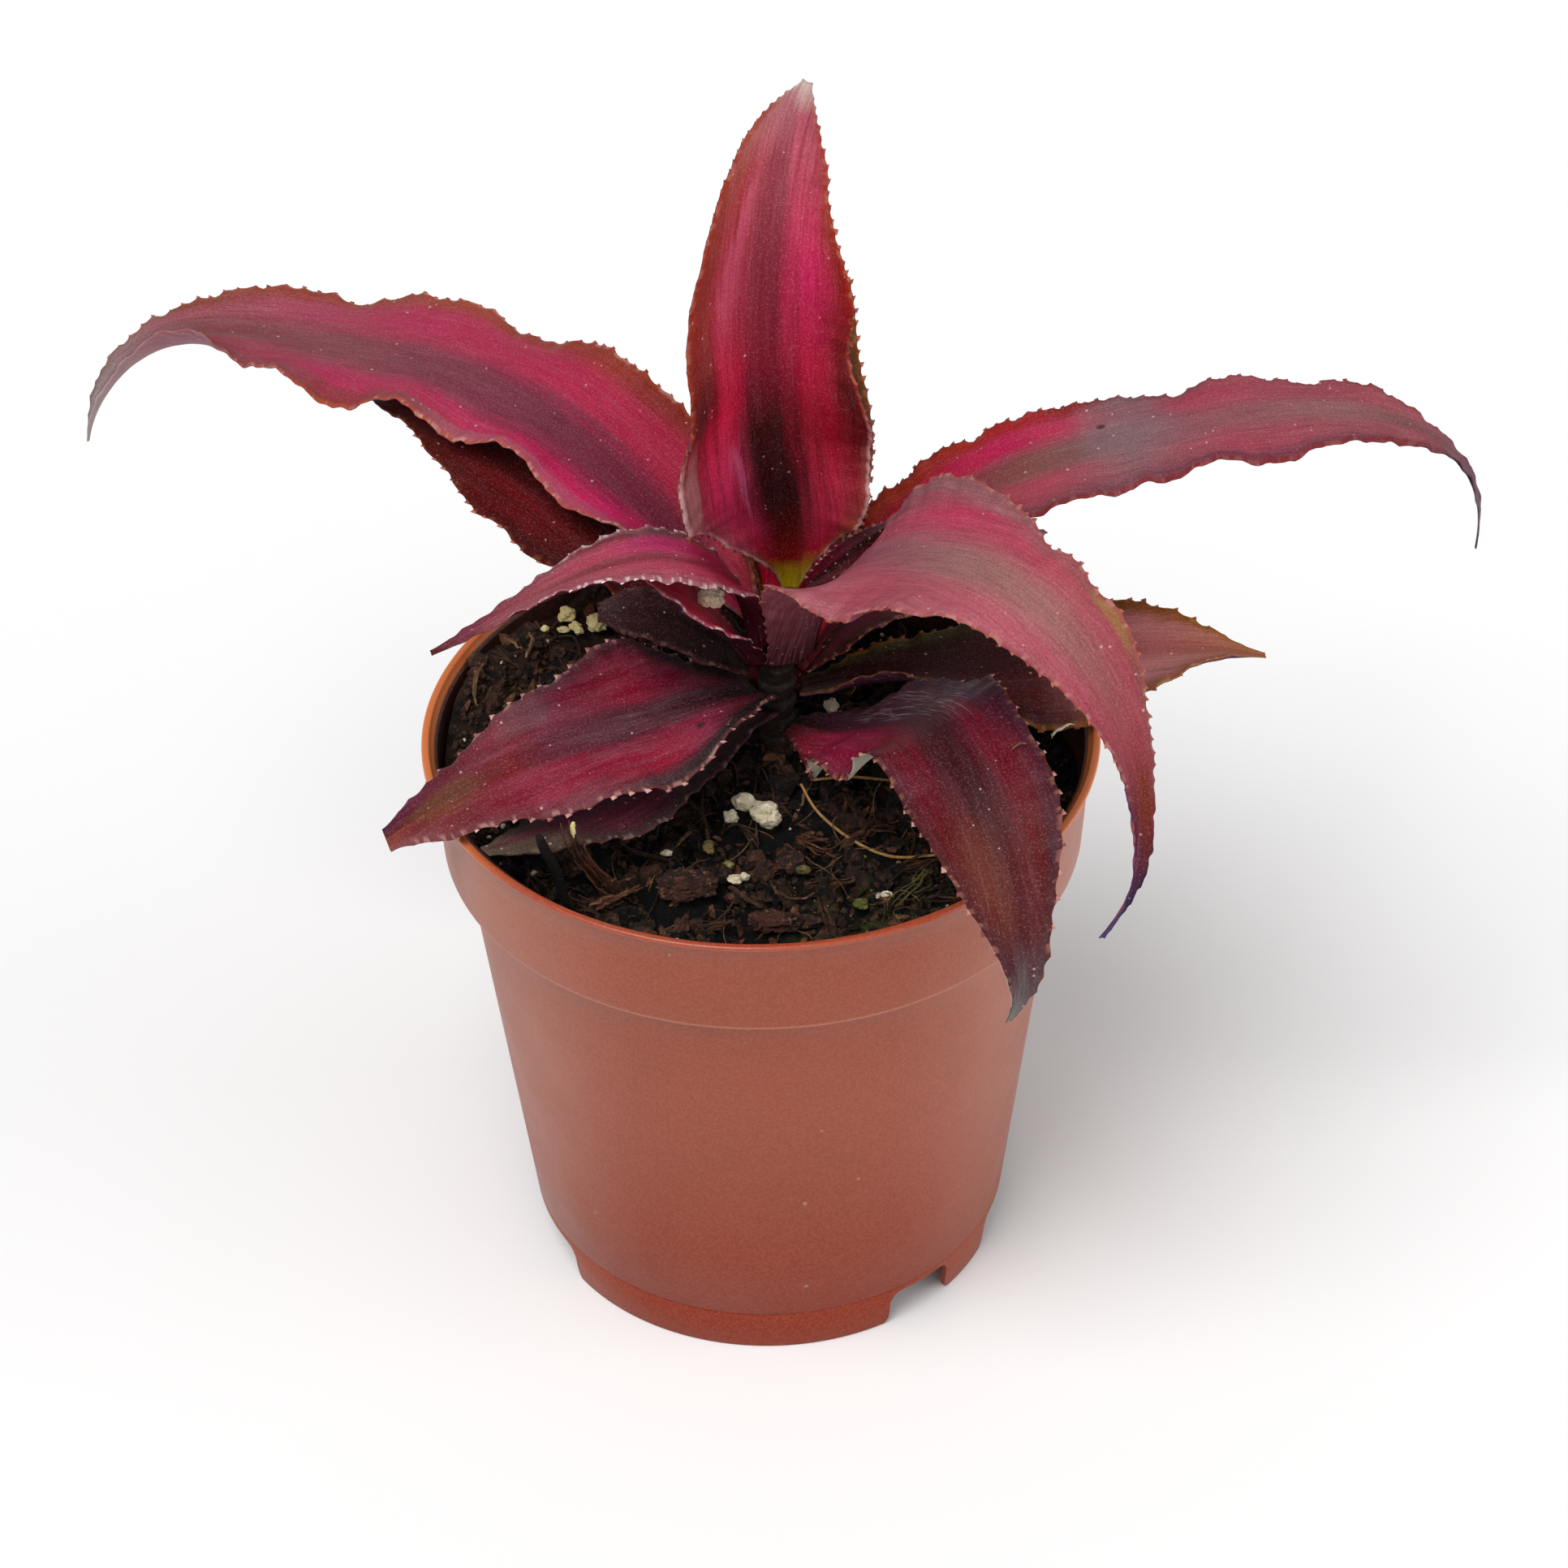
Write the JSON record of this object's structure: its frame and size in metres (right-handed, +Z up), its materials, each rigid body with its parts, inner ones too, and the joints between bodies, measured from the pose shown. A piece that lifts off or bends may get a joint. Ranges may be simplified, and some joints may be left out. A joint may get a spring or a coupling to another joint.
{
  "type": "potted earth star bromeliad",
  "caption": "Small rosette bromeliad with wavy, finely toothed, pink and maroon striped leaves, growing in a thin round terracotta-coloured plastic nursery pot.",
  "frame": {"origin": "centre of the pot's foot on the ground", "axes": "+Z up, -Y towards the plant's front, +X to its right as seen from the front, along the two longest opposite leaves"},
  "size_m": [0.1905, 0.1222, 0.1681],
  "materials": {
    "pot_plastic": "thin terracotta-coloured moulded plastic, satin",
    "compost": "black-brown fibrous peat compost, matt",
    "stem": "brown-black dry leaf sheaths, matt",
    "leaf": "stiff leaf, pink bands beside a dark midrib, fine grey scales, satin",
    "aged_leaf": "older stiff leaf, dark maroon with dull edges and fine grey scales, satin",
    "perlite": "off-white porous grain, matt",
    "root_fibre": "dry tan root thread",
    "bark": "damp red-brown bark, matt"
  },
  "bodies": {
    "root": {"pot": "pot_plastic", "soil": "compost", "stem": "stem", "leaf_upright": "leaf", "leaf_back_shaded": "leaf", "leaf_left_long": "leaf", "leaf_front_left_arching": "leaf", "leaf_left_cupped": "leaf", "leaf_front_right_arching": "leaf", "leaf_right_long": "leaf", "leaf_left_stub": "leaf", "leaf_left_dark": "leaf", "leaf_front_left_broad": "aged_leaf", "leaf_back_right_low": "aged_leaf", "leaf_right_brown": "aged_leaf", "leaf_back_left_low": "aged_leaf", "leaf_front_left_lowest": "aged_leaf", "leaf_back_low": "aged_leaf", "leaf_front_right_low": "aged_leaf", "perlite_large": "perlite", "perlite_beside": "perlite", "perlite_left": "perlite", "perlite_left_edge": "perlite", "perlite_right": "perlite", "perlite_cupped": "perlite", "root_fibre_curved": "root_fibre", "root_fibre_straight": "root_fibre", "bark_chip_front": "bark", "bark_chip_right": "bark", "bark_chip_left": "bark"}
  },
  "joints": []
}
